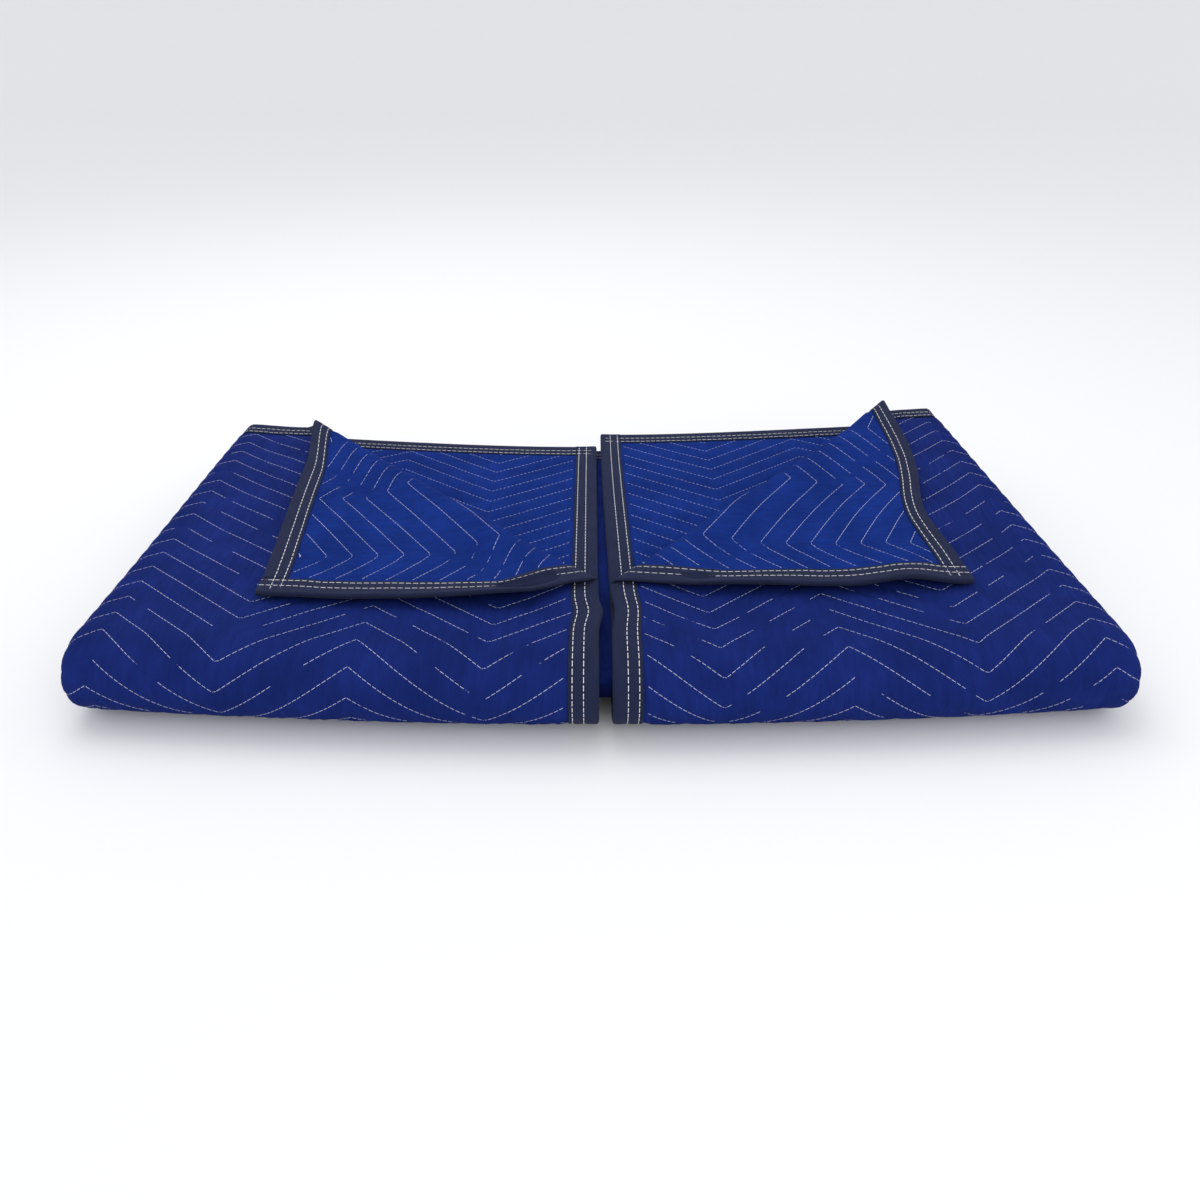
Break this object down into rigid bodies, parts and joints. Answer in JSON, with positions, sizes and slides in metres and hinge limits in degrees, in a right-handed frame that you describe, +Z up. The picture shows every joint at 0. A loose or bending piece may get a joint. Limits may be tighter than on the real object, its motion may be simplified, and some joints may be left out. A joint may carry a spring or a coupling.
{
  "type": "folded moving blanket",
  "caption": "Quilted moving blanket with bound edges, folded into a flat bundle with both inner top corners turned back.",
  "frame": {"origin": "centre of the bundle's footprint, on the surface it lies on", "axes": "+X along the front roll to the right, +Y from the front roll to the back, +Z up"},
  "size_m": [0.9068, 0.5454, 0.1132],
  "materials": {
    "quilted_cloth": "matt non-woven cloth, quilted in zigzag rows with pale thread, one face darker than the other",
    "binding_tape": "matt plain-woven tape, double stitched with white thread"
  },
  "bodies": {
    "root": {"quilt": "quilted_cloth", "binding_left": "binding_tape", "binding_right": "binding_tape", "binding_outer_end": "binding_tape", "binding_inner_end": "binding_tape"}
  },
  "joints": []
}
